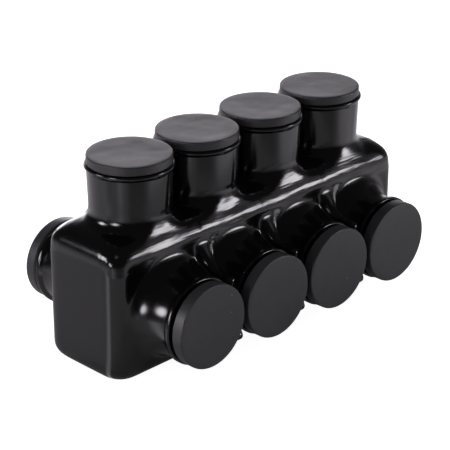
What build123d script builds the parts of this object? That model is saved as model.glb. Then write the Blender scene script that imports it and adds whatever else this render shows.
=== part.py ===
from build123d import *
import os

# Insulated multi-tap connector, dual entry, four ports in a row.
# Millimetres. X runs along the row of ports, -Y is the front, Z is up.
# The origin is the middle of the base of the jacket.

# Row of ports
port_count = 4
rim_gap = 0.6

# Aluminium block
bore_r = 9.5
bore_floor = 7.8
block_depth = 27.0
block_height = 38.7
block_edge_chamfer = 0.8
bore_mouth_chamfer = 1.0

# Set screws, five eighths of an inch with a five sixteenths hexagon
screw_r = 7.94
screw_length = 19.0
screw_socket_width = 7.94
screw_socket_depth = 9.0
screw_end_chamfer = 0.9
thread_clearance = 0.05
screw_open_gap = 0.1

# Plastisol jacket
jacket_wall = 2.5
block_fit_gap = 0.02
jacket_corner_r = 4.0
jacket_top_edge_r = 4.5
jacket_foot_r = 3.9

# Sleeves of the jacket: chimneys over the screws, collars over the bores
sleeve_ease = 1.1
sleeve_wall = 1.8
sleeve_swell = 0.4
sleeve_lip = 0.6
rim_proud = 0.6
rim_edge_r = 0.5
rim_bead_height = 1.0
chimney_reach = 17.8
chimney_flare_r = 4.5
collar_reach = 13.4
flare_floor_gap = 3.4
flare_end_gap = 0.2
ridge_slope_deg = 45.0
ridge_hollow_r = 6.4

# Webs between neighbouring collars, with a drip at the lower outer corner
web_thickness = 2.4
web_drop = 10.6
web_rise = 9.3
web_climb = 4.4
web_corner_r = 0.9
drip_reach = 3.0
drip_height = 2.2

# Port caps: flat head, ribbed hollow skirt
top_head_inset = 0.7
top_head_thickness = 2.2
top_seat_gap = 0.6
top_rib_count = 2
side_head_inset = 0.46
side_head_thickness = 3.9
side_seat_gap = 0.96
side_rib_count = 3
head_edge_r = 0.35
head_under_chamfer = 0.4
rib_clearance = 0.05
rib_depth = 0.5
rib_width = 1.0
rib_spacing = 2.6
skirt_tail = 2.8
skirt_wall = 1.5
skirt_lead = 0.8

# Worked out from the sizes above: the sleeves fit the bores, and the ports stand rim to rim
sleeve_bore_r = bore_r + sleeve_ease
neck_r = sleeve_bore_r + sleeve_wall
rim_r = neck_r + sleeve_swell + rim_proud
port_pitch = 2 * rim_r + rim_gap
first_port_x = -port_pitch * (port_count - 1) / 2
port_xs = [first_port_x + port_pitch * i for i in range(port_count)]
bore_z = jacket_wall + bore_floor + bore_r
collar_flare_r = bore_z - neck_r - flare_floor_gap
jacket_end_margin = neck_r + collar_flare_r + flare_end_gap + jacket_corner_r
block_length = port_pitch * (port_count - 1) + 2 * (jacket_end_margin - jacket_wall)
jacket_length = block_length + 2 * jacket_wall
jacket_depth = block_depth + 2 * jacket_wall
jacket_height = block_height + 2 * jacket_wall
block_top_z = jacket_wall + block_height
chimney_rim_z = jacket_height + chimney_reach
collar_rim_y = jacket_depth / 2 + collar_reach
web_low = bore_z - web_drop
web_high = bore_z + web_rise
top_head_r = rim_r - top_head_inset
side_head_r = rim_r - side_head_inset
top_skirt_length = top_rib_count * rib_spacing + skirt_tail
side_skirt_length = side_rib_count * rib_spacing + skirt_tail
rib_r = sleeve_bore_r - rib_clearance
skirt_r = rib_r - rib_depth
pick_tolerance = 0.01

os.makedirs("parts", exist_ok=True)


def outward_plane(origin, outward):
    """Sketch plane whose X is the radius along the row and whose Y points out of the jacket."""
    return Plane(origin=origin, x_dir=(1, 0, 0), z_dir=Vector(1, 0, 0).cross(Vector(*outward)))


def sleeve_half(reach, flare_r, root):
    """Half section of a sleeve: flared foot, tapering neck and a beaded rim. X is the radius."""
    with BuildSketch() as half:
        with BuildLine():
            foot = Line((neck_r + flare_r, -root), (neck_r + flare_r, 0))
            flare = RadiusArc(foot @ 1, (neck_r, flare_r), flare_r)
            neck = Line(flare @ 1, (neck_r + sleeve_swell, reach - rim_bead_height - sleeve_lip))
            lip = Line(neck @ 1, (rim_r, reach - rim_bead_height))
            bead = Line(lip @ 1, (rim_r, reach))
            Polyline(bead @ 1, (0, reach), (0, -root), foot @ 0)
        make_face()
        fillet(half.vertices().sort_by_distance((rim_r, reach))[0], rim_edge_r)
    return half.sketch


def cap_half(head_r, head_thickness, seat_gap, skirt_length, rib_count):
    """Half section of a port cap: X is the radius, Y is 0 at the rim that it plugs."""
    rib_starts = [-rib_spacing * (n + 1) + rib_width for n in range(rib_count)]
    with BuildSketch() as half:
        with BuildLine():
            side = Polyline(
                (0, seat_gap + head_thickness),
                (head_r, seat_gap + head_thickness),
                (head_r, seat_gap),
                (skirt_r, seat_gap),
            )
            for start in rib_starts:
                Polyline((skirt_r, start), (rib_r, start - rib_width / 2), (skirt_r, start - rib_width))
            for upper, lower in zip([seat_gap] + [s - rib_width for s in rib_starts], rib_starts):
                Line((skirt_r, upper), (skirt_r, lower))
            Polyline(
                (skirt_r, rib_starts[-1] - rib_width),
                (skirt_r, skirt_lead - skirt_length),
                (skirt_r - skirt_lead, -skirt_length),
                (skirt_r - skirt_wall, -skirt_length),
                (skirt_r - skirt_wall, seat_gap),
                (0, seat_gap),
                side @ 0,
            )
        make_face()
        fillet(half.vertices().sort_by_distance((head_r, seat_gap + head_thickness))[0], head_edge_r)
        chamfer(half.vertices().sort_by_distance((head_r, seat_gap))[0], head_under_chamfer)
    return half.sketch


# The block: an extruded bar, drilled through from front to back and tapped from above
with BuildPart() as connector_block:
    with BuildSketch(Plane.XY.offset(jacket_wall)):
        Rectangle(block_length, block_depth)
    extrude(amount=block_height)
    chamfer(connector_block.edges(), block_edge_chamfer)
    for port_x in port_xs:
        with BuildSketch(Plane.XZ.offset(-block_depth / 2)):
            with Locations((port_x, bore_z)):
                Circle(bore_r)
        extrude(amount=block_depth, mode=Mode.SUBTRACT)
        with BuildSketch(Plane.XY.offset(bore_z)):
            with Locations((port_x, 0)):
                Circle(screw_r + thread_clearance)
        extrude(amount=block_top_z - bore_z, mode=Mode.SUBTRACT)
    mouths = (
        connector_block.edges()
        .filter_by(GeomType.CIRCLE)
        .filter_by(lambda e: abs(abs(e.arc_center.Y) - block_depth / 2) < pick_tolerance)
    )
    chamfer(mouths, bore_mouth_chamfer)
connector_block.part.label = "connector_block"
export_step(connector_block.part, "parts/connector_block.step")

# The set screws: flat ends with a chamfer, a hexagon socket sunk in the top,
# backed out until the tip clears the conductor bore
for i, port_x in enumerate(port_xs):
    screw_z = bore_z + bore_r + screw_open_gap
    with BuildPart() as set_screw:
        with BuildSketch(Plane.XY.offset(screw_z)):
            with Locations((port_x, 0)):
                Circle(screw_r)
        extrude(amount=screw_length)
        chamfer(set_screw.edges().filter_by(GeomType.CIRCLE), screw_end_chamfer)
        with BuildSketch(Plane.XY.offset(screw_z + screw_length)):
            with Locations((port_x, 0)):
                RegularPolygon(screw_socket_width / 2, 6, major_radius=False)
        extrude(amount=-screw_socket_depth, mode=Mode.SUBTRACT)
    set_screw.part.label = f"set_screw_{i + 1}"
    export_step(set_screw.part, f"parts/set_screw_{i + 1}.step")

# The chimneys: sleeves with flared roots, trimmed so that they run out into the rounded ridge
with BuildPart() as chimneys:
    for port_x in port_xs:
        with BuildSketch(outward_plane((port_x, 0, jacket_height), (0, 0, 1))):
            add(sleeve_half(chimney_reach, chimney_flare_r, jacket_wall))
        revolve(axis=Axis((port_x, 0, 0), (0, 0, 1)))
    with BuildSketch(Plane.YZ):
        with BuildLine():
            face_y = jacket_depth / 2
            flare_top_z = jacket_height + chimney_flare_r
            clear_z = chimney_rim_z + chimney_flare_r
            face = Line((face_y, block_top_z - jacket_top_edge_r), (face_y, jacket_height - jacket_top_edge_r))
            ridge = JernArc(face @ 1, face % 1, jacket_top_edge_r, ridge_slope_deg)
            hollow = JernArc(ridge @ 1, ridge % 1, ridge_hollow_r, -ridge_slope_deg)
            Polyline(
                hollow @ 1,
                ((hollow @ 1).X, flare_top_z),
                (jacket_depth, flare_top_z),
                (jacket_depth, clear_z),
                (0, clear_z),
            )
            Line((0, block_top_z - jacket_top_edge_r), face @ 0)
            mirror(about=Plane.YZ)
        make_face()
    extrude(amount=jacket_length / 2, both=True, mode=Mode.INTERSECT)

# The jacket: one dip-moulded skin round the block, with a chimney over each screw
# and a collar over each mouth of each bore
with BuildPart() as insulating_jacket:
    with BuildSketch():
        RectangleRounded(jacket_length, jacket_depth, jacket_corner_r)
    extrude(amount=jacket_height)
    fillet(insulating_jacket.faces().sort_by(Axis.Z)[-1].edges(), jacket_top_edge_r)
    fillet(insulating_jacket.faces().sort_by(Axis.Z)[0].edges(), jacket_foot_r)
    add(chimneys.part)
    for side in (-1, 1):
        for port_x in port_xs:
            with BuildSketch(outward_plane((port_x, side * jacket_depth / 2, bore_z), (0, side, 0))):
                add(sleeve_half(collar_reach, collar_flare_r, jacket_wall))
            revolve(axis=Axis((port_x, 0, bore_z), (0, 1, 0)))
    # Webs between neighbouring collars, climbing the face of the jacket at their roots
    web_outline = [
        (collar_rim_y, web_high),
        (collar_rim_y, web_low + drip_height + drip_reach),
        (collar_rim_y + drip_reach, web_low + drip_height),
        (collar_rim_y + drip_reach, web_low),
    ]
    root_y = jacket_depth / 2 - jacket_wall / 2
    corner_r = min(web_corner_r, 0.45 * drip_height)
    for port_x in port_xs[1:]:
        with BuildSketch(Plane.YZ.offset(port_x - port_pitch / 2)) as web:
            with BuildLine():
                Polyline((root_y, web_high + web_climb), *web_outline, (root_y, web_low), close=True)
            make_face()
            fillet(web.vertices().filter_by(lambda v: v.X > collar_rim_y - pick_tolerance), corner_r)
            mirror(about=Plane.YZ)
        extrude(amount=web_thickness / 2, both=True)
    # Hollow for the block, and the ways in to the bores and the screws
    with BuildSketch(Plane.XY.offset(jacket_wall - block_fit_gap)):
        Rectangle(block_length + 2 * block_fit_gap, block_depth + 2 * block_fit_gap)
    extrude(amount=block_height + 2 * block_fit_gap, mode=Mode.SUBTRACT)
    with BuildSketch(Plane.XY.offset(block_top_z)):
        with Locations([(port_x, 0) for port_x in port_xs]):
            Circle(sleeve_bore_r)
    extrude(amount=chimney_rim_z - block_top_z, mode=Mode.SUBTRACT)
    with BuildSketch(Plane.XZ):
        with Locations([(port_x, bore_z) for port_x in port_xs]):
            Circle(sleeve_bore_r)
    extrude(amount=collar_rim_y, both=True, mode=Mode.SUBTRACT)
    mouths = (
        insulating_jacket.edges()
        .filter_by(GeomType.CIRCLE)
        .filter_by(lambda e: abs(e.radius - sleeve_bore_r) < pick_tolerance)
        .filter_by(
            lambda e: abs(e.arc_center.Z - chimney_rim_z) < pick_tolerance
            or abs(abs(e.arc_center.Y) - collar_rim_y) < pick_tolerance
        )
    )
    fillet(mouths, rim_edge_r)
insulating_jacket.part.label = "insulating_jacket"
export_step(insulating_jacket.part, "parts/insulating_jacket.step")

# Caps that plug the chimneys
for i, port_x in enumerate(port_xs):
    with BuildPart() as screw_port_cap:
        with BuildSketch(outward_plane((port_x, 0, chimney_rim_z), (0, 0, 1))):
            add(cap_half(top_head_r, top_head_thickness, top_seat_gap, top_skirt_length, top_rib_count))
        revolve(axis=Axis((port_x, 0, 0), (0, 0, 1)))
    screw_port_cap.part.label = f"screw_port_cap_{i + 1}"
    export_step(screw_port_cap.part, f"parts/screw_port_cap_{i + 1}.step")

# Caps that plug the collars, front and rear
for side, row in ((-1, "front"), (1, "rear")):
    for i, port_x in enumerate(port_xs):
        with BuildPart() as cable_port_cap:
            with BuildSketch(outward_plane((port_x, side * collar_rim_y, bore_z), (0, side, 0))):
                add(cap_half(side_head_r, side_head_thickness, side_seat_gap, side_skirt_length, side_rib_count))
            revolve(axis=Axis((port_x, 0, bore_z), (0, 1, 0)))
        cable_port_cap.part.label = f"{row}_port_cap_{i + 1}"
        export_step(cable_port_cap.part, f"parts/{row}_port_cap_{i + 1}.step")
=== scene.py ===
import math

import bmesh
import bpy
from mathutils import Matrix, Vector, noise


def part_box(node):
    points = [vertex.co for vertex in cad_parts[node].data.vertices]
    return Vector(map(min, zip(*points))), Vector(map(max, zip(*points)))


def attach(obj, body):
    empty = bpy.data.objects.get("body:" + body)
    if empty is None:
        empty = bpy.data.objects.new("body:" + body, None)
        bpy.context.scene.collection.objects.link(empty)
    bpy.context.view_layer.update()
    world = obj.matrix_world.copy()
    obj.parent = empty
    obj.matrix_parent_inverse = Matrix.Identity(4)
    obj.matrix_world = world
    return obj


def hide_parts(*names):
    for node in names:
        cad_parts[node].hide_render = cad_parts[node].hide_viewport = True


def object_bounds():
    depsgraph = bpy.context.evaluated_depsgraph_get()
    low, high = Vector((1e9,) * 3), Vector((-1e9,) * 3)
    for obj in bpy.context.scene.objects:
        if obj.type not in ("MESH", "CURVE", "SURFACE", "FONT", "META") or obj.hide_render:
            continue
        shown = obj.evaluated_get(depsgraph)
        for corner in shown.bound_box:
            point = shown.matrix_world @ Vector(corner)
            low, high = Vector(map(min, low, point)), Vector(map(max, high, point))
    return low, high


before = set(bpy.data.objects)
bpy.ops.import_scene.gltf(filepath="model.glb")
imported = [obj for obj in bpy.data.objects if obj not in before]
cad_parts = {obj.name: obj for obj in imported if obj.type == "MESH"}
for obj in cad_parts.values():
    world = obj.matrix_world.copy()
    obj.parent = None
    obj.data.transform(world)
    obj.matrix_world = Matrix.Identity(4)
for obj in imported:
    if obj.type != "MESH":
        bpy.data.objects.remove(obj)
cad_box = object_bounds()

# Camera: a long lens above the left front corner, from where all four screw caps and all four
# front cable caps show
camera_data = bpy.data.cameras.new("camera")
camera_data.lens = 138.73
camera_data.sensor_width = 36.0
camera = bpy.data.objects.new("camera", camera_data)
camera.location = (-0.35317, -0.34741, 0.24918)
camera.rotation_euler = (math.radians(90 - 24.052), 0, math.radians(-45.328))
bpy.context.scene.collection.objects.link(camera)
bpy.context.scene.camera = camera
bpy.context.scene.view_settings.view_transform = "Standard"


# Floor: a sheet of white paper that burns out to white behind the object and keeps its shadow.
# A second, small sheet under the object is seen only by its gloss, with the true shading of the floor and a
# painted streak of light.
def add_node(tree, kind, inputs=None, **settings):
    """Adds a node. An input is a value or the output socket that feeds it."""
    made = tree.nodes.new(kind)
    for name, value in settings.items():
        setattr(made, name, value)
    for socket, value in (inputs or {}).items():
        if isinstance(value, bpy.types.NodeSocket):
            tree.links.new(value, made.inputs[socket])
        else:
            made.inputs[socket].default_value = value
    return made


def empty_material(name):
    """A material with an empty node tree."""
    material = bpy.data.materials.new(name)
    material.use_nodes = True
    material.node_tree.nodes.clear()
    return material


def new_object(bm, name, material):
    """Turns a bmesh into an object at the origin."""
    mesh = bpy.data.meshes.new(name)
    bm.to_mesh(mesh)
    bm.free()
    mesh.materials.append(material)
    made = bpy.data.objects.new(name, mesh)
    bpy.context.scene.collection.objects.link(made)
    return made


floor_white = (0.8, 0.8, 0.8, 1.0)
floor_glow = 0.92
floor_half = 3.0
paper = empty_material("white_paper_floor")
tree = paper.node_tree
light_path = add_node(tree, "ShaderNodeLightPath")
dull = add_node(tree, "ShaderNodeBsdfDiffuse", {"Color": floor_white})
glow = add_node(tree, "ShaderNodeEmission", {"Color": (1, 1, 1, 1), "Strength": floor_glow})
lit = add_node(tree, "ShaderNodeAddShader", {0: dull.outputs[0], 1: glow.outputs[0]})
seen_mix = {0: light_path.outputs["Is Camera Ray"], 1: dull.outputs[0], 2: lit.outputs[0]}
seen = add_node(tree, "ShaderNodeMixShader", seen_mix)
add_node(tree, "ShaderNodeOutputMaterial", {"Surface": seen.outputs[0]})
bm = bmesh.new()
bmesh.ops.create_grid(bm, x_segments=1, y_segments=1, size=floor_half)
floor = new_object(bm, "studio_floor", paper)
floor.visible_glossy = False

# The small sheet. A streak of painted light glows in its material, like one the left softbox might throw, out
# from the left front corner of the object, and the reflection of that painted light draws the light line on
# that corner of the jacket.
sheet_half_size = (0.15, 0.12, 1.0)
sheet_lift = 0.0001
painted_streak_start = (cad_box[0][0] + 0.005, -0.011)
painted_streak_deg, painted_streak_core_deg, painted_streak_edge_deg = 19, 2, 16
painted_streak_level = 0.95
sheet_and_painted_streak = empty_material("white_paper_sheet_with_painted_streak")
tree = sheet_and_painted_streak.node_tree
place = add_node(tree, "ShaderNodeTexCoord").outputs["Object"]
spot = add_node(tree, "ShaderNodeSeparateXYZ", {0: place})
left_of = add_node(tree, "ShaderNodeMath", {0: painted_streak_start[0], 1: spot.outputs[0]}, operation="SUBTRACT")
behind = add_node(tree, "ShaderNodeMath", {0: spot.outputs[1], 1: painted_streak_start[1]}, operation="SUBTRACT")
veer = add_node(tree, "ShaderNodeMath", {0: behind.outputs[0], 1: left_of.outputs[0]}, operation="ARCTAN2")
off_middle = {0: veer.outputs[0], 1: math.radians(painted_streak_deg)}
off_painted_streak = add_node(tree, "ShaderNodeMath", off_middle, operation="SUBTRACT")
wide = add_node(tree, "ShaderNodeMath", {0: off_painted_streak.outputs[0]}, operation="ABSOLUTE")
core, edge = math.radians(painted_streak_core_deg), math.radians(painted_streak_edge_deg)
# Painted light: the streak is emission in the sheet's own material, not light cast by any lamp
painted_streak = {"Value": wide.outputs[0], 1: core, 2: edge, 3: painted_streak_level, 4: 0.0}
soft = add_node(tree, "ShaderNodeMapRange", painted_streak, interpolation_type="SMOOTHSTEP")
glow = add_node(tree, "ShaderNodeEmission", {"Color": (0.95, 0.95, 1.0, 1.0), "Strength": soft.outputs[0]})
dull = add_node(tree, "ShaderNodeBsdfDiffuse", {"Color": (0.85, 0.81, 0.86, 1.0)})
lit = add_node(tree, "ShaderNodeAddShader", {0: dull.outputs[0], 1: glow.outputs[0]})
add_node(tree, "ShaderNodeOutputMaterial", {"Surface": lit.outputs[0]})
bm = bmesh.new()
bmesh.ops.create_circle(bm, cap_ends=True, segments=64, radius=1.0)
bmesh.ops.scale(bm, vec=sheet_half_size, verts=bm.verts)
bmesh.ops.translate(bm, vec=(0, 0, sheet_lift), verts=bm.verts)
sheet = new_object(bm, "studio_sheet", sheet_and_painted_streak)
sheet.visible_camera = False
sheet.visible_diffuse = False
sheet.visible_shadow = False


# Studio: white to the eye of the camera. What the gloss sees is the room of a tabletop studio: a pale
# table darker towards the camera, pale walls at the right, black above, and the soft glow of the lamps.
def room_ramp(tree, turn, stops):
    """A ramp round the horizon from (degrees, level) stops. 0 is +X and 90 is +Y."""
    ramp = add_node(tree, "ShaderNodeValToRGB", {0: turn})
    bands = ramp.color_ramp.elements
    bands.remove(bands[1])
    bands[0].color = (stops[0][1], stops[0][1], stops[0][1], 1)
    for degrees, level in stops[1:]:
        bands.new((degrees + 180) / 360).color = (level, level, level, 1)
    return ramp.outputs[0]


def aim(azimuth, elevation):
    """Unit vector towards an azimuth and an elevation in degrees."""
    flat = math.cos(math.radians(elevation))
    side = math.radians(azimuth)
    return Vector((flat * math.cos(side), flat * math.sin(side), math.sin(math.radians(elevation))))


world = bpy.data.worlds.new("studio")
bpy.context.scene.world = world
world.use_nodes = True
tree = world.node_tree
tree.nodes.clear()
way = add_node(tree, "ShaderNodeTexCoord")
axes = add_node(tree, "ShaderNodeSeparateXYZ", {0: way.outputs["Generated"]})
angle = add_node(tree, "ShaderNodeMath", {0: axes.outputs[1], 1: axes.outputs[0]}, operation="ARCTAN2")
turn = add_node(tree, "ShaderNodeMapRange", {"Value": angle.outputs[0], 1: -math.pi, 2: math.pi})
table_stops = [
    (-180, 0.62), (-170, 0.7), (-160, 1.2), (-150, 0.72), (-130, 0.26), (-98, 0.26), (-84, 0.45), (-62, 1.1),
    (-34, 1.1), (-20, 0.75), (90, 0.8), (140, 0.74), (156, 0.9), (166, 0.6), (174, 0.55), (180, 0.62),
]
table = room_ramp(tree, turn.outputs[0], table_stops)
wall_stops = [
    (-180, 0.04), (-72, 0.04), (-52, 0.3), (0, 0.12), (30, 0.2), (46, 4.4), (71, 4.4), (83, 0.2), (100, 0.04),
    (180, 0.03),
]
walls = room_ramp(tree, turn.outputs[0], wall_stops)

# The room in bands, by the height of the line of sight: 1 is straight up and -1 straight down
walls_end, ceiling_start = 0.14, 0.43
walls_start, table_start = -0.02, -0.28
table_end, near_paper_start = -0.45, -0.72
ceiling_black = (0.045, 0.045, 0.045, 1)
near_paper = (0.8, 0.8, 0.8, 1)
height = axes.outputs[2]
ceiling_range = {"Value": height, 1: walls_end, 2: ceiling_start, 3: 1.0, 4: 0.0}
ceiling = add_node(tree, "ShaderNodeMapRange", ceiling_range)
above_mix = {0: ceiling.outputs[0], 6: ceiling_black, 7: walls}
above = add_node(tree, "ShaderNodeMix", above_mix, data_type="RGBA")
near = add_node(tree, "ShaderNodeMapRange", {"Value": height, 1: table_end, 2: near_paper_start})
below_mix = {0: near.outputs[0], 6: table, 7: near_paper}
below = add_node(tree, "ShaderNodeMix", below_mix, data_type="RGBA")
under = add_node(tree, "ShaderNodeMapRange", {"Value": height, 1: walls_start, 2: table_start})
room_mix = {0: under.outputs[0], 6: above.outputs[2], 7: below.outputs[2]}
room = add_node(tree, "ShaderNodeMix", room_mix, data_type="RGBA").outputs[2]

# Glow of the lamps: azimuth, elevation, radius of the core and of the glow in degrees, and level
lamps = [(148, 14, 2, 12, 14), (186, 8, 2, 12, 13), (-48, 10, 1, 10, 13), (-42, 26, 2, 13, 0.4)]
for azimuth, elevation, core_deg, glow_deg, level in lamps:
    to_lamp = {0: way.outputs["Generated"], 1: aim(azimuth, elevation)}
    facing = add_node(tree, "ShaderNodeVectorMath", to_lamp, operation="DOT_PRODUCT")
    glow_cos, core_cos = math.cos(math.radians(glow_deg)), math.cos(math.radians(core_deg))
    edge = {"Value": facing.outputs["Value"], 1: glow_cos, 2: core_cos, 4: level}
    soft = add_node(tree, "ShaderNodeMapRange", edge, interpolation_type="SMOOTHSTEP")
    added = {0: 1.0, 6: room, 7: soft.outputs[0]}
    room = add_node(tree, "ShaderNodeMix", added, data_type="RGBA", blend_type="ADD").outputs[2]
lamp_tint = (1.0, 0.96, 1.03, 1)
fill_level = 0.35
tint = {0: 1.0, 6: room, 7: lamp_tint}
tinted = add_node(tree, "ShaderNodeMix", tint, data_type="RGBA", blend_type="MULTIPLY")
light_path = add_node(tree, "ShaderNodeLightPath")
white_back = add_node(tree, "ShaderNodeBackground", {"Color": (1, 1, 1, 1), "Strength": 1.0})
room_back = add_node(tree, "ShaderNodeBackground", {"Color": tinted.outputs[2], "Strength": 1.0})
fill_back = add_node(tree, "ShaderNodeBackground", {"Color": (1, 1, 1, 1), "Strength": fill_level})
shiny_mix = {0: light_path.outputs["Is Glossy Ray"], 1: fill_back.outputs[0], 2: room_back.outputs[0]}
shiny = add_node(tree, "ShaderNodeMixShader", shiny_mix)
seen_mix = {0: light_path.outputs["Is Camera Ray"], 1: shiny.outputs[0], 2: white_back.outputs[0]}
seen = add_node(tree, "ShaderNodeMixShader", seen_mix)
add_node(tree, "ShaderNodeOutputWorld", {"Surface": seen.outputs[0]})


# Softboxes: they light the object and the floor, while the gloss sees the glow in the room instead of them
softbox_distance = 2


def softbox(name, azimuth, elevation, width, height, level):
    """A lit panel turned to the object. The level is its own brightness."""
    lamp = bpy.data.lights.new(name, "AREA")
    lamp.shape = "RECTANGLE"
    lamp.size = width
    lamp.size_y = height
    lamp.energy = level * math.pi * width * height
    panel = bpy.data.objects.new(name, lamp)
    panel.location = softbox_distance * aim(azimuth, elevation)
    panel.rotation_euler = panel.location.to_track_quat("Z", "Y").to_euler()
    panel.visible_glossy = False
    bpy.context.scene.collection.objects.link(panel)


softbox("left_softbox", 158, 10, 0.50, 0.90, 9)
softbox("right_softbox", -46, 10, 0.50, 0.60, 8)
softbox("top_softbox", 66, 50, 0.70, 0.45, 9)


# Connector block: a length of 6061 aluminium bar, sawn off, drilled through for the cables
# and tapped from above for the set screws. Only its bores and tapped holes can be looked into.
def srgb(text):
    """The linear colour of an sRGB hex value."""
    parts = [int(text[i : i + 2], 16) / 255 for i in (1, 3, 5)]
    return tuple(c / 12.92 if c <= 0.04045 else ((c + 0.055) / 1.055) ** 2.4 for c in parts) + (1.0,)


mm = 0.001
port_count = 4
block_low, block_high = (Vector(corner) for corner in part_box("connector_block"))
port_low, port_high = (Vector(corner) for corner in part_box("set_screw_1"))
last_low, last_high = (Vector(corner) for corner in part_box(f"set_screw_{port_count}"))
first_port_x = (port_low.x + port_high.x) / 2
port_pitch = ((last_low.x + last_high.x) / 2 - first_port_x) / (port_count - 1)
port_xs = [first_port_x + port_pitch * i for i in range(port_count)]
screw_r = (port_high.x - port_low.x) / 2

# Extruded aluminium bar: a dull silver, with fine draw lines along X and the thread cut in the tapped holes
threads_per_inch = 18
thread_pitch = 25.4 / threads_per_inch * mm
hole_r = screw_r + 0.12 * mm
thread_relief = 0.9 * mm
bar = empty_material("extruded_aluminium_bar")
tree = bar.node_tree
place = add_node(tree, "ShaderNodeTexCoord").outputs["Object"]
drawn = add_node(tree, "ShaderNodeMapping", {0: place, "Scale": (40, 4000, 4000)})
line_noise = {0: drawn.outputs[0], "Scale": 1.0, "Detail": 3.0, "Roughness": 0.6}
lines = add_node(tree, "ShaderNodeTexNoise", line_noise)
patches = add_node(tree, "ShaderNodeTexNoise", {0: place, "Scale": 180.0, "Detail": 4.0})
silver = {0: patches.outputs[0], 6: srgb("#b9bbbd"), 7: srgb("#d2d3d4")}
colour = add_node(tree, "ShaderNodeMix", silver, data_type="RGBA")
dullness = add_node(tree, "ShaderNodeMapRange", {"Value": patches.outputs[0], 3: 0.28, 4: 0.46})
spot = add_node(tree, "ShaderNodeSeparateXYZ", {0: place})
from_first = add_node(tree, "ShaderNodeMath", {0: spot.outputs[0], 1: first_port_x}, operation="SUBTRACT")
repeat = {0: from_first.outputs[0], 1: port_pitch / 2, 2: -port_pitch / 2}
across = add_node(tree, "ShaderNodeMath", repeat, operation="WRAP")
round_hole = add_node(tree, "ShaderNodeMath", {0: spot.outputs[1], 1: across.outputs[0]}, operation="ARCTAN2")
turns = add_node(tree, "ShaderNodeMath", {0: round_hole.outputs[0], 1: math.tau}, operation="DIVIDE")
rise = add_node(tree, "ShaderNodeMath", {0: spot.outputs[2], 1: thread_pitch}, operation="DIVIDE")
wound = add_node(tree, "ShaderNodeMath", {0: rise.outputs[0], 1: turns.outputs[0]}, operation="SUBTRACT")
flanks = add_node(tree, "ShaderNodeMath", {0: wound.outputs[0], 1: 0.5}, operation="PINGPONG")
from_axis = add_node(tree, "ShaderNodeCombineXYZ", {0: across.outputs[0], 1: spot.outputs[1]})
radius = add_node(tree, "ShaderNodeVectorMath", {0: from_axis.outputs[0]}, operation="LENGTH")
in_hole = add_node(tree, "ShaderNodeMath", {0: radius.outputs["Value"], 1: hole_r}, operation="LESS_THAN")
over_bore = add_node(tree, "ShaderNodeMath", {0: spot.outputs[2], 1: port_low.z}, operation="GREATER_THAN")
in_thread = {0: in_hole.outputs[0], 1: over_bore.outputs[0]}
tapped = add_node(tree, "ShaderNodeMath", in_thread, operation="MULTIPLY")
thread = add_node(tree, "ShaderNodeMath", {0: flanks.outputs[0], 1: tapped.outputs[0]}, operation="MULTIPLY")
thread_bump = {"Height": thread.outputs[0], "Strength": 1.0, "Distance": thread_relief}
cut = add_node(tree, "ShaderNodeBump", thread_bump)
line_bump = {"Height": lines.outputs[0], "Strength": 0.25, "Distance": 0.02 * mm, "Normal": cut.outputs[0]}
grain = add_node(tree, "ShaderNodeBump", line_bump)
aluminium = {"Base Color": colour.outputs[2], "Metallic": 1.0, "Roughness": dullness.outputs[0]}
aluminium["Normal"] = grain.outputs[0]
metal = add_node(tree, "ShaderNodeBsdfPrincipled", aluminium)
add_node(tree, "ShaderNodeOutputMaterial", {"Surface": metal.outputs[0]})
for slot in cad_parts["connector_block"].material_slots:
    slot.material = bar


# Set screws: headless 5/8 in screws with 18 threads to the inch, turned from aluminium bar,
# with a chamfer at each end and a hexagon socket broached over a drilled hole.
def spun(bm, outline, steps, centre, out):
    """Spins an outline of (radius, height) points about an axis that starts at centre and points out."""
    points = [bm.verts.new((radius, 0, height)) for radius, height in outline]
    edges = [bm.edges.new(pair) for pair in zip(points, points[1:])]
    if outline[0] != outline[-1] and outline[0][0] > 0:
        edges.append(bm.edges.new((points[-1], points[0])))
    bmesh.ops.spin(
        bm, geom=points + edges, cent=(0, 0, 0), axis=(0, 0, 1), angle=math.tau, steps=steps, use_merge=True
    )
    verts = points[:]
    known = set(points)
    for vert in verts:
        for edge in vert.link_edges:
            other = edge.other_vert(vert)
            if other not in known:
                known.add(other)
                verts.append(other)
    turn = Vector((0, 0, 1)).rotation_difference(Vector(out)).to_matrix().to_4x4()
    bmesh.ops.transform(bm, matrix=Matrix.Translation(centre) @ turn, verts=verts)
    return verts


def close_up(bm):
    """Merges the doubled points of seams and poles and turns all faces outwards."""
    bmesh.ops.remove_doubles(bm, verts=bm.verts, dist=1e-7)
    bmesh.ops.recalc_face_normals(bm, faces=bm.faces)


def shade(made, sharp_deg):
    """Smooth shading that stays crisp at edges sharper than the angle."""
    bm = bmesh.new()
    bm.from_mesh(made.data)
    for face in bm.faces:
        face.smooth = True
    for edge in bm.edges:
        edge.smooth = not edge.is_manifold or edge.calc_face_angle(0) < math.radians(sharp_deg)
    bm.to_mesh(made.data)
    bm.free()


def cut_away(made, cutter):
    """Cuts a closed mesh with another, which is then deleted."""
    step = made.modifiers.new("cut", "BOOLEAN")
    step.operation = "DIFFERENCE"
    step.object = cutter
    step.solver = "MANIFOLD"
    with bpy.context.temp_override(object=made, active_object=made, selected_objects=[made]):
        bpy.ops.object.modifier_apply(modifier=step.name)
    bpy.data.objects.remove(cutter)


screw_end_chamfer = 0.9 * mm
thread_depth = 0.613 * thread_pitch
root_r = screw_r - thread_depth
socket_width = 7.94 * mm
socket_depth = 9.0 * mm
cutter_over_end = 1 * mm
turn_steps = 40

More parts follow.
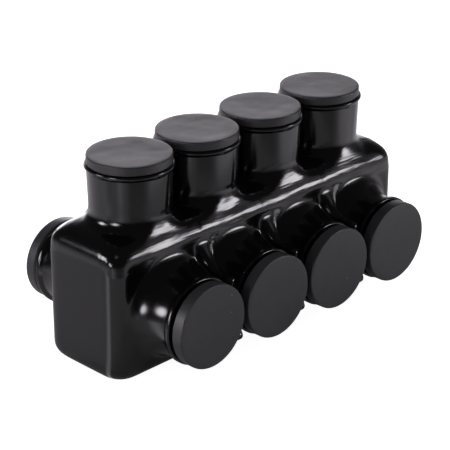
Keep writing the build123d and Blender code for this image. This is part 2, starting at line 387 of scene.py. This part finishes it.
# Turned aluminium bar: a little brighter and smoother than the block, with fine marks of the tool
turned = empty_material("turned_aluminium_screw")
tree = turned.node_tree
place = add_node(tree, "ShaderNodeTexCoord").outputs["Object"]
marks = add_node(tree, "ShaderNodeTexNoise", {0: place, "Scale": 900.0, "Detail": 3.0})
silver = {0: marks.outputs[0], 6: srgb("#a9abad"), 7: srgb("#c9cacb")}
colour = add_node(tree, "ShaderNodeMix", silver, data_type="RGBA")
dullness = add_node(tree, "ShaderNodeMapRange", {"Value": marks.outputs[0], 3: 0.22, 4: 0.38})
grain = add_node(tree, "ShaderNodeBump", {"Height": marks.outputs[0], "Strength": 0.2, "Distance": 0.02 * mm})
aluminium = {"Base Color": colour.outputs[2], "Metallic": 1.0, "Roughness": dullness.outputs[0]}
aluminium["Normal"] = grain.outputs[0]
metal = add_node(tree, "ShaderNodeBsdfPrincipled", aluminium)
add_node(tree, "ShaderNodeOutputMaterial", {"Surface": metal.outputs[0]})

# The thread is a ridge with flanks of 60 degrees, wound up the shaft and cut off level at both ends. Its
# foot and crest are shares of the pitch each side of the middle.
low, high = port_low.z, port_high.z
turn_count = (high - low) / thread_pitch + 1
foot_share, crest_share = 0.45, 0.06
ridge_foot_r = root_r - 0.1 * mm
thread_ridge = [(ridge_foot_r, -foot_share), (screw_r, -crest_share), (screw_r, crest_share)]
thread_ridge.append((ridge_foot_r, foot_share))
root_run = 0.3 * mm
shaft_steps = 64
end_r = screw_r - screw_end_chamfer
for i, port_x in enumerate(port_xs):
    bm = bmesh.new()
    points = [bm.verts.new((radius, 0, share * thread_pitch)) for radius, share in thread_ridge]
    section = bm.faces.new(points)
    bmesh.ops.spin(
        bm, geom=[section, *section.edges, *points], cent=(0, 0, 0), axis=(0, 0, 1),
        angle=math.tau * turn_count, steps=int(turn_count * turn_steps),
        dvec=(0, 0, thread_pitch / turn_steps), use_merge=False,
    )
    bmesh.ops.translate(bm, vec=(0, 0, low - thread_pitch / 2), verts=bm.verts)
    for cut_z, normal in ((low, -1), (high, 1)):
        ridge = [*bm.verts, *bm.edges, *bm.faces]
        made = bmesh.ops.bisect_plane(
            bm, geom=ridge, plane_co=(0, 0, cut_z), plane_no=(0, 0, normal), clear_outer=True
        )
        rim = [part for part in made["geom_cut"] if isinstance(part, bmesh.types.BMEdge)]
        bmesh.ops.holes_fill(bm, edges=rim, sides=0)
    for vert in bm.verts:
        from_end = min(vert.co.z - low, high - vert.co.z)
        limit = screw_r - max(screw_end_chamfer - from_end, 0)
        reach = math.hypot(vert.co.x, vert.co.y)
        if reach > limit:
            vert.co.x *= limit / reach
            vert.co.y *= limit / reach
    shaft = [(0, low), (end_r, low), (root_r, low + root_run)]
    shaft += [(root_r, high - root_run), (end_r, high), (0, high)]
    spun(bm, shaft, shaft_steps, (0, 0, 0), (0, 0, 1))
    close_up(bm)
    bmesh.ops.translate(bm, vec=(port_x, 0, 0), verts=bm.verts)
    screw = new_object(bm, f"threaded_set_screw_{i + 1}", turned)
    bm = bmesh.new()
    corner_reach = socket_width / math.cos(math.radians(30)) / 2
    bmesh.ops.create_cone(
        bm, cap_ends=True, segments=6, radius1=corner_reach, radius2=corner_reach,
        depth=socket_depth + cutter_over_end,
    )
    socket_middle = high + cutter_over_end / 2 - socket_depth / 2
    bmesh.ops.translate(bm, vec=(port_x, 0, socket_middle), verts=bm.verts)
    cut_away(screw, new_object(bm, "socket_cutter", turned))
    shade(screw, 35)
    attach(screw, f"set_screw_{i + 1}")
    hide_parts(f"set_screw_{i + 1}")


# Insulating jacket: a thick skin of black PVC plastisol, made in one piece by dipping a heated
# former. The coat runs soft and rounded over every edge, fillets the roots of the chimneys and
# collars, bridges the gaps between neighbouring collars as webs, and stays wet-looking.
def arc(centre, radius, start_deg, end_deg, steps):
    """Points of an arc round a centre, as (radius, height) pairs."""
    angles = [math.radians(start_deg + (end_deg - start_deg) * i / steps) for i in range(steps + 1)]
    return [(centre[0] + radius * math.cos(a), centre[1] + radius * math.sin(a)) for a in angles]


# The top is made a little high, because the smoothing and the waves take some off it
jacket_wall = 2.5 * mm
top_spare = 0.4 * mm
corner_r = 5.0 * mm
top_edge_r = 6.5 * mm
foot_r = 4.2 * mm
half_length = block_high.x + jacket_wall
half_depth = block_high.y + jacket_wall
jacket_top = block_high.z + jacket_wall
body_top = jacket_top + top_spare
bore_height = 17.3 * mm
bore_z = block_low.z + bore_height
sleeve_bore_r = 10.6 * mm
sleeve_r = 12.4 * mm
sleeve_swell = 0.4 * mm
swell_run = 1 * mm
rim_r = 13.4 * mm
bead_height = 1.0 * mm
collar_bead_height = 1.6 * mm
bead_lip = 0.6 * mm
chimney_reach = 17.8 * mm
collar_reach = 13.4 * mm
shoulder_hollow_r, shoulder_lean_deg = 12.0 * mm, 54
collar_hollow_r, collar_lean_deg = 6 * mm, 45
collars = [(port_x, side) for side in (-1, 1) for port_x in port_xs]
rim_y = half_depth + collar_reach
over_rim = 2.5 * mm
sleeve_steps = 96
skin_voxel = 0.6 * mm


def sleeve(foot, reach):
    """Outer form of a sleeve, run on past its rim, where it is cut off later."""
    swollen_r = sleeve_r + sleeve_swell
    rim_part = [(swollen_r, reach - swell_run), (swollen_r, reach + over_rim), (0, reach + over_rim)]
    return [(0, foot[0][1])] + foot + rim_part


def edge_room(out, edge_r, hollow_r, lean_deg):
    """How far a sleeve's foot keeps from the next face, at a distance out from its own: it runs out
    through a hollow into the rounded edge between the two faces, where the edge has turned by the lean."""
    lean_sin, lean_cos = math.sin(math.radians(lean_deg)), math.cos(math.radians(lean_deg))
    rise = min(max(out + (1 - lean_cos) * edge_r, 0), lean_cos * hollow_r)
    hollow = math.sqrt(hollow_r**2 - (lean_cos * hollow_r - rise) ** 2)
    return (1 - lean_sin) * (edge_r + hollow_r) - hollow_r + hollow


def rounded_ring(inset, z, radius):
    """Level outline of the jacket at a height, drawn in from its faces, with rounded corners."""
    points = []
    for quarter, (side_x, side_y) in enumerate(((1, 1), (-1, 1), (-1, -1), (1, -1))):
        centre = (side_x * (half_length - inset - radius), side_y * (half_depth - inset - radius))
        points += arc(centre, radius, 90 * quarter, 90 * quarter + 90, 8)
    return [bm.verts.new((x, y, z)) for x, y in points]


# A chimney's foot is a tight hollow that runs down into a slope of 40 degrees. A collar's foot is drawn out
# along the collar, so that the collar narrows from its root nearly to its rim.
foot_hollow_r = 3 * mm
foot_height = 3.6 * mm
foot_slope = 0.85
fall_step, fall_count = 0.35, 12
chimney_foot = arc((sleeve_r + foot_hollow_r, foot_height), foot_hollow_r, 230, 180, 10)
start_r, start_height = chimney_foot[0]
for i in range(fall_count):
    fall = (i + 1) * fall_step * mm
    chimney_foot.insert(0, (start_r + fall / foot_slope, start_height - fall))

# The collar's flare in millimetres: how clear it stays of the sleeve, how wide it spreads, how far it runs
flare_clear, flare_spread, flare_run = 0.2, 4.4, 11.3
flare_steps = 16
root_depth = 3 * mm
collar_foot = [(sleeve_r + (flare_clear + flare_spread) * mm, -root_depth)]
for i in range(flare_steps + 1):
    sweep = math.radians(90 * i / flare_steps)
    spread = (flare_clear + flare_spread * (1 - math.sin(sweep))) * mm
    collar_foot.append((sleeve_r + spread, flare_run * (1 - math.cos(sweep)) * mm))

liquid_black = empty_material("dipped_pvc_plastisol")

# The body, in level rings. Its corners get rounder where the foot and the shoulders draw in.
corner_growth = 0.4
foot_line = arc((foot_r, foot_r), foot_r, 270, 180, 6)
shoulder_line = arc((top_edge_r, body_top - top_edge_r), top_edge_r, 180, 90, 12)
bm = bmesh.new()
rings = [rounded_ring(inset, z, corner_r + corner_growth * inset) for inset, z in foot_line + shoulder_line]
for lower, upper in zip(rings, rings[1:]):
    for i in range(len(lower)):
        bm.faces.new((lower[i - 1], lower[i], upper[i], upper[i - 1]))
bm.faces.new(rings[0])
bm.faces.new(rings[-1])
for port_x in port_xs:
    for vert in spun(bm, sleeve(chimney_foot, chimney_reach), sleeve_steps, (port_x, 0, jacket_top), (0, 0, 1)):
        room = edge_room(vert.co.z - body_top, top_edge_r, shoulder_hollow_r, shoulder_lean_deg)
        vert.co.y = min(max(vert.co.y, room - half_depth), half_depth - room)
        vert.co.x = min(max(vert.co.x, room - half_length), half_length - room)
for port_x, side in collars:
    face = (port_x, side * half_depth, bore_z)
    for vert in spun(bm, sleeve(collar_foot, collar_reach), sleeve_steps, face, (0, side, 0)):
        out = abs(vert.co.y) - half_depth
        room = edge_room(out, corner_r, collar_hollow_r, collar_lean_deg)
        vert.co.x = min(max(vert.co.x, room - half_length), half_length - room)
        vert.co.z = max(vert.co.z, edge_room(out, foot_r, collar_hollow_r, collar_lean_deg))

# Webs: thin walls of plastisol between neighbouring collars. Each climbs the face at its root, where it is
# wide, sags towards the rims in a soft S and ends in a drip at its lower outer corner. Its outline is in
# millimetres, out from the jacket's side and up from the bores.
web_half, web_root_half = 1.7 * mm, 2.6 * mm
web_root_reach = 1.8 * mm
web_line = [
    (-1.5, 16.6), (0.6, 15.6), (1.4, 14.8), (2.2, 13.6), (4.0, 11.4), (6.4, 10.0), (9.8, 9.4), (13.2, 9.2),
    (13.4, -5.8), (15.9, -8.0), (16.4, -8.9), (16.3, -10.4), (14.6, -10.8), (-1.5, -10.9),
]
for port_x in port_xs[1:]:
    for side in (-1, 1):
        middle = port_x - port_pitch / 2
        points = [bm.verts.new((0, side * (half_depth + y * mm), bore_z + z * mm)) for y, z in web_line]
        made = bmesh.ops.extrude_face_region(bm, geom=[bm.faces.new(points)])
        far = [part for part in made["geom"] if isinstance(part, bmesh.types.BMVert)]
        for vert in points + far:
            root = math.exp(-((max(abs(vert.co.y) - half_depth, 0) / web_root_reach) ** 2))
            half = web_half + (web_root_half - web_half) * root
            vert.co.x = middle + (half if vert in far else -half)
close_up(bm)
skin = new_object(bm, "jacket_skin", liquid_black)
coat = skin.modifiers.new("one_coat", "REMESH")
coat.mode = "VOXEL"
coat.voxel_size = skin_voxel
flow = skin.modifiers.new("flow", "SMOOTH")
flow.factor = 0.5
flow.iterations = 32
with bpy.context.temp_override(object=skin, active_object=skin, selected_objects=[skin]):
    bpy.ops.object.modifier_apply(modifier=coat.name)
    bpy.ops.object.modifier_apply(modifier=flow.name)

# The coat isn't even. It lies thinner and thicker in slow waves, most along the two ridges at the feet
# of the chimneys, and is creased there halfway between the ports, where it shrank onto the former. The
# waves are counted per metre, so 70 is one wave in 14 mm.
crease_xs = [port_x - port_pitch / 2 for port_x in port_xs[1:]]
crease_half, crease_depth, crease_reach = 0.7 * mm, 0.16 * mm, 3.5 * mm
ridge_inset, ridge_reach = 1.5 * mm, 7 * mm
slow_depth, wave_depth = 0.04 * mm, 0.45 * mm
bm = bmesh.new()
bm.from_mesh(skin.data)
bm.normal_update()
moves = []
for vert in bm.verts:
    x, y, z = vert.co
    from_ridge = math.hypot(abs(y) - half_depth + ridge_inset, z - jacket_top + ridge_inset)
    ridge_near = max(0, 1 - from_ridge / ridge_reach) ** 0.5
    slow = noise.noise(vert.co * 70)
    wave = noise.noise(Vector((x * 70, y * 40, z * 90 + 3)))
    stray = 2 * noise.noise(vert.co * 90) * mm
    crease = sum(math.exp(-(((x - at - stray) / crease_half) ** 2)) for at in crease_xs)
    crease *= max(0, 1 - from_ridge / crease_reach)
    move = slow_depth * (slow - 0.6) + ridge_near * (wave_depth * (wave - 0.5) - crease_depth * crease)
    moves.append(vert.normal * move)
for vert, move in zip(bm.verts, moves):
    vert.co += move
    vert.co.z = max(vert.co.z, 0)
bm.to_mesh(skin.data)
bm.free()

# Hollow for the block, then the ways in, with the sleeves cut off inside their beads
bm = bmesh.new()
bmesh.ops.create_cube(bm, size=1)
bmesh.ops.scale(bm, vec=(2 * block_high.x, 2 * block_high.y, block_high.z - block_low.z), verts=bm.verts)
bmesh.ops.translate(bm, vec=(0, 0, (block_high.z + block_low.z) / 2), verts=bm.verts)
cut_away(skin, new_object(bm, "block_cutter", liquid_black))
rim_steps = 128
bead_overlap = 0.3 * mm
trim = bead_height - bead_overlap
trim_r = rim_r + 0.2 * mm
bore_depth = jacket_wall + 1 * mm


def way_in(reach):
    """Cutter for a sleeve: its bore, and everything above the underside of its bead."""
    bore = [(0, -bore_depth), (sleeve_bore_r, -bore_depth), (sleeve_bore_r, reach - trim)]
    return bore + [(trim_r, reach - trim), (trim_r, reach + 2 * over_rim), (0, reach + 2 * over_rim)]


bm = bmesh.new()
for port_x in port_xs:
    spun(bm, way_in(chimney_reach), rim_steps, (port_x, 0, jacket_top), (0, 0, 1))
close_up(bm)
cut_away(skin, new_object(bm, "chimney_cutter", liquid_black))
bm = bmesh.new()
for port_x, side in collars:
    spun(bm, way_in(collar_reach), rim_steps, (port_x, side * half_depth, bore_z), (0, side, 0))
close_up(bm)
cut_away(skin, new_object(bm, "collar_cutter", liquid_black))
shade(skin, 40)
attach(skin, "connector")
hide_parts("insulating_jacket")

# Beads of the sleeves: the coat gathers into a thicker rounded rim where the former was masked.
# Each collar's bead has a small nick beside its top, where the strip round the mask was pulled.
bead_edge_r = 0.5 * mm
lip_rise, lip_inset, lip_drop = 0.15 * mm, 0.12 * mm, 0.05 * mm
lip_ease = 0.03 * mm
nick_deg, nick_width_deg, nick_depth = 24, 7, 0.45 * mm


def bead(reach, height):
    """Section of a bead, from the bore over the rounded rim to the lip underneath."""
    inner = arc((sleeve_bore_r + bead_edge_r, reach - bead_edge_r), bead_edge_r, 180, 90, 5)
    outer = arc((rim_r - bead_edge_r, reach - bead_edge_r), bead_edge_r, 90, 0, 5)
    lip = [(rim_r, reach - height + lip_rise), (rim_r - lip_inset, reach - height - lip_drop)]
    foot = reach - height - 2 * bead_lip
    under = [(sleeve_r + sleeve_swell + lip_ease, reach - height - bead_lip), (sleeve_r, foot)]
    return inner + outer + lip + under + [(sleeve_bore_r, foot)]


bm = bmesh.new()
for port_x in port_xs:
    spun(bm, bead(chimney_reach, bead_height), rim_steps, (port_x, 0, jacket_top), (0, 0, 1))
for port_x, side in collars:
    section = bead(collar_reach, collar_bead_height)
    for vert in spun(bm, section, rim_steps, (port_x, side * half_depth, bore_z), (0, side, 0)):
        from_axis = Vector((vert.co.x - port_x, vert.co.z - bore_z))
        off_nick = math.degrees(math.atan2(-from_axis.x, from_axis.y)) - nick_deg
        outer = (from_axis.length - sleeve_bore_r) / (rim_r - sleeve_bore_r)
        sink = nick_depth * max(outer, 0) * math.exp(-((off_nick / nick_width_deg) ** 2))
        vert.co.y -= side * sink
        vert.co.x -= from_axis.x / from_axis.length * sink
        vert.co.z -= from_axis.y / from_axis.length * sink
close_up(bm)
rims = new_object(bm, "jacket_beads", liquid_black)
shade(rims, 50)
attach(rims, "connector")
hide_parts("insulating_jacket")


def dust_specks(tree, place, cells_per_metre, speck_size, clean_share):
    """1 on the few cells of a pattern that hold a speck of dust, in their middles, and 0 elsewhere."""
    cells = add_node(tree, "ShaderNodeTexVoronoi", {0: place, "Scale": cells_per_metre})
    middle = {0: cells.outputs["Distance"], 1: speck_size}
    small = add_node(tree, "ShaderNodeMath", middle, operation="LESS_THAN")
    pick = add_node(tree, "ShaderNodeSeparateColor", {0: cells.outputs["Color"]})
    few = add_node(tree, "ShaderNodeMath", {0: pick.outputs[0], 1: clean_share}, operation="GREATER_THAN")
    both = {0: small.outputs[0], 1: few.outputs[0]}
    return add_node(tree, "ShaderNodeMath", both, operation="MULTIPLY").outputs[0]


# Cured plastisol: PVC, index 1.53, jet black and glossy straight from the oven. Its surface has a slow
# orange peel 6 to 15 mm across, faint bloom, and a few specks of dust.
tree = liquid_black.node_tree
place = add_node(tree, "ShaderNodeTexCoord").outputs["Object"]
bloom = add_node(tree, "ShaderNodeTexNoise", {0: place, "Scale": 90.0, "Detail": 4.0, "Roughness": 0.6})
black = {0: bloom.outputs[0], 6: srgb("#040404"), 7: srgb("#080808")}
colour = add_node(tree, "ShaderNodeMix", black, data_type="RGBA")
dust = dust_specks(tree, place, cells_per_metre=260.0, speck_size=0.035, clean_share=0.86)
dusty = {0: dust, 6: colour.outputs[2], 7: srgb("#6e6c6a")}
specked = add_node(tree, "ShaderNodeMix", dusty, data_type="RGBA")
gloss_range = {"Value": bloom.outputs[0], 1: 0.3, 2: 0.7, 3: 0.13, 4: 0.18}
dullness = add_node(tree, "ShaderNodeMapRange", gloss_range)
specked_dull = add_node(tree, "ShaderNodeMath", {0: dullness.outputs[0], 1: dust}, operation="MAXIMUM")
peel = add_node(tree, "ShaderNodeTexNoise", {0: place, "Scale": 90.0, "Detail": 1.0, "Roughness": 0.4})
peel_relief = {"Height": peel.outputs[0], "Strength": 0.4, "Distance": 0.12 * mm}
peel_bump = add_node(tree, "ShaderNodeBump", peel_relief)

# Fine wrinkles run along the two ridges at the feet of the chimneys, 1.5 to 3 mm apart
spot = add_node(tree, "ShaderNodeSeparateXYZ", {0: place})
from_middle = add_node(tree, "ShaderNodeMath", {0: spot.outputs[1]}, operation="ABSOLUTE")
ridge_spot = add_node(tree, "ShaderNodeCombineXYZ", {0: from_middle.outputs[0], 1: spot.outputs[2]})
ridge_line = (half_depth - 2 * mm, jacket_top - 2 * mm, 0)
off_ridge = {0: ridge_spot.outputs[0], 1: ridge_line}
from_ridge = add_node(tree, "ShaderNodeVectorMath", off_ridge, operation="DISTANCE")
fade = {"Value": from_ridge.outputs["Value"], 1: 3 * mm, 2: 7 * mm, 3: 1.0, 4: 0.0}
ridge_near = add_node(tree, "ShaderNodeMapRange", fade)
drawn = add_node(tree, "ShaderNodeMapping", {0: place, "Scale": (70, 420, 420)})
strand_noise = {0: drawn.outputs[0], "Scale": 1.0, "Detail": 2.0, "Roughness": 0.5}
strands = add_node(tree, "ShaderNodeTexNoise", strand_noise)
faded = {0: strands.outputs[0], 1: ridge_near.outputs[0]}
wrinkles = add_node(tree, "ShaderNodeMath", faded, operation="MULTIPLY")
wrinkle_relief = {"Height": wrinkles.outputs[0], "Strength": 0.7, "Distance": 0.3 * mm}
wrinkle_relief["Normal"] = peel_bump.outputs[0]
wrinkle_bump = add_node(tree, "ShaderNodeBump", wrinkle_relief)
glossy_pvc = {"Base Color": specked.outputs[2], "Roughness": specked_dull.outputs[0], "IOR": 1.53}
glossy_pvc["Normal"] = wrinkle_bump.outputs[0]
plastisol = add_node(tree, "ShaderNodeBsdfPrincipled", glossy_pvc)
add_node(tree, "ShaderNodeOutputMaterial", {"Surface": plastisol.outputs[0]})


# Port caps: hollow plugs of black polyethylene, injection moulded, with a flat head and a thin
# ribbed skirt that grips the sleeve. The heads are satin and sink a little over the hollow.
head_edge_r = 0.35 * mm
head_sink = 0.12 * mm
rib_depth = 0.5 * mm
rib_spacing = 2.6 * mm
rib_width = 1.0 * mm
rib_clearance = 0.05 * mm
rib_crest_r = 0.2 * mm
skirt_wall = 1.5 * mm
skirt_lead = 0.8 * mm
skirt_root = 0.2 * mm
skirt_r = sleeve_bore_r - rib_clearance - rib_depth
hollow_r = skirt_r - skirt_wall
hollow_bevel = 0.6 * mm
face_steps = 8
cap_steps = 128


def cap_outline(head_r, head_thickness, seat_gap, under_chamfer, skirt_length, rib_count):
    """Half section of a cap, from the middle of its head round to the middle of its hollow."""
    top = seat_gap + head_thickness
    face = []
    for step in range(face_steps):
        sink = head_sink * (1 - (step / face_steps) ** 2) ** 2
        face.append((head_r * step / face_steps, top - sink))
    side = arc((head_r - head_edge_r, top - head_edge_r), head_edge_r, 90, 0, 5)
    side += [(head_r, seat_gap + under_chamfer), (head_r - under_chamfer, seat_gap)]
    side += [(skirt_r + skirt_root, seat_gap), (skirt_r, seat_gap - skirt_root)]
    for n in range(rib_count):
        start = -rib_spacing * (n + 1) + rib_width
        crest = arc((skirt_r + rib_depth - rib_crest_r, start - rib_width / 2), rib_crest_r, 55, -55, 3)
        side += [(skirt_r, start)] + crest + [(skirt_r, start - rib_width)]
    tip = -skirt_length
    end = [(skirt_r, skirt_lead + tip), (skirt_r - skirt_lead, tip), (hollow_r, tip)]
    inside = [(hollow_r, seat_gap - hollow_bevel), (hollow_r - hollow_bevel, seat_gap), (0, seat_gap)]
    return face + side + end + inside


satin_black = empty_material("moulded_polyethylene_cap")
top_cap = dict(head_r=12.7 * mm, head_thickness=2.7 * mm, seat_gap=0.1 * mm, under_chamfer=0.15 * mm)
top_cap.update(skirt_length=8.0 * mm, rib_count=2)
side_cap = dict(head_r=12.94 * mm, head_thickness=3.9 * mm, seat_gap=0.96 * mm, under_chamfer=0.4 * mm)
side_cap.update(skirt_length=10.6 * mm, rib_count=3)
rows = [
    ("screw", top_cap, 0, jacket_top + chimney_reach, (0, 0, 1)),
    ("front", side_cap, -rim_y, bore_z, (0, -1, 0)),
    ("rear", side_cap, rim_y, bore_z, (0, 1, 0)),
]
for row, sizes, seat_y, seat_z, out in rows:
    for i, port_x in enumerate(port_xs):
        node = f"{row}_port_cap_{i + 1}"
        bm = bmesh.new()
        spun(bm, cap_outline(**sizes), cap_steps, (port_x, seat_y, seat_z), out)
        close_up(bm)
        cap = new_object(bm, f"ribbed_{node}", satin_black)
        shade(cap, 30)
        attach(cap, node)
        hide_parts(node)

# Polyethylene: index 1.51, a charcoal black with a satin skin. The mould leaves a fine grain, cloudy flow
# marks a few millimetres across show in its sheen, and handling leaves a few pale specks.
tree = satin_black.node_tree
place = add_node(tree, "ShaderNodeTexCoord").outputs["Object"]
cloud = add_node(tree, "ShaderNodeTexNoise", {0: place, "Scale": 170.0, "Detail": 5.0, "Roughness": 0.62})
charcoal = {0: cloud.outputs[0], 6: srgb("#242326"), 7: srgb("#353437")}
colour = add_node(tree, "ShaderNodeMix", charcoal, data_type="RGBA")
dust = dust_specks(tree, place, cells_per_metre=330.0, speck_size=0.06, clean_share=0.8)
dusty = {0: dust, 6: colour.outputs[2], 7: srgb("#8c8c90")}
specked = add_node(tree, "ShaderNodeMix", dusty, data_type="RGBA")
sheen_range = {"Value": cloud.outputs[0], 1: 0.3, 2: 0.7, 3: 0.38, 4: 0.46}
dullness = add_node(tree, "ShaderNodeMapRange", sheen_range)
fine = add_node(tree, "ShaderNodeTexNoise", {0: place, "Scale": 2500.0, "Detail": 2.0})
slow = add_node(tree, "ShaderNodeTexNoise", {0: place, "Scale": 130.0, "Detail": 1.0})
slow_relief = {"Height": slow.outputs[0], "Strength": 0.5, "Distance": 0.35 * mm}
slow_bump = add_node(tree, "ShaderNodeBump", slow_relief)
fine_relief = {"Height": fine.outputs[0], "Strength": 0.3, "Distance": 0.03 * mm}
fine_relief["Normal"] = slow_bump.outputs[0]
fine_bump = add_node(tree, "ShaderNodeBump", fine_relief)
satin_skin = {"Base Color": specked.outputs[2], "Roughness": dullness.outputs[0], "IOR": 1.51}
satin_skin["Normal"] = fine_bump.outputs[0]
polyethylene = add_node(tree, "ShaderNodeBsdfPrincipled", satin_skin)
add_node(tree, "ShaderNodeOutputMaterial", {"Surface": polyethylene.outputs[0]})
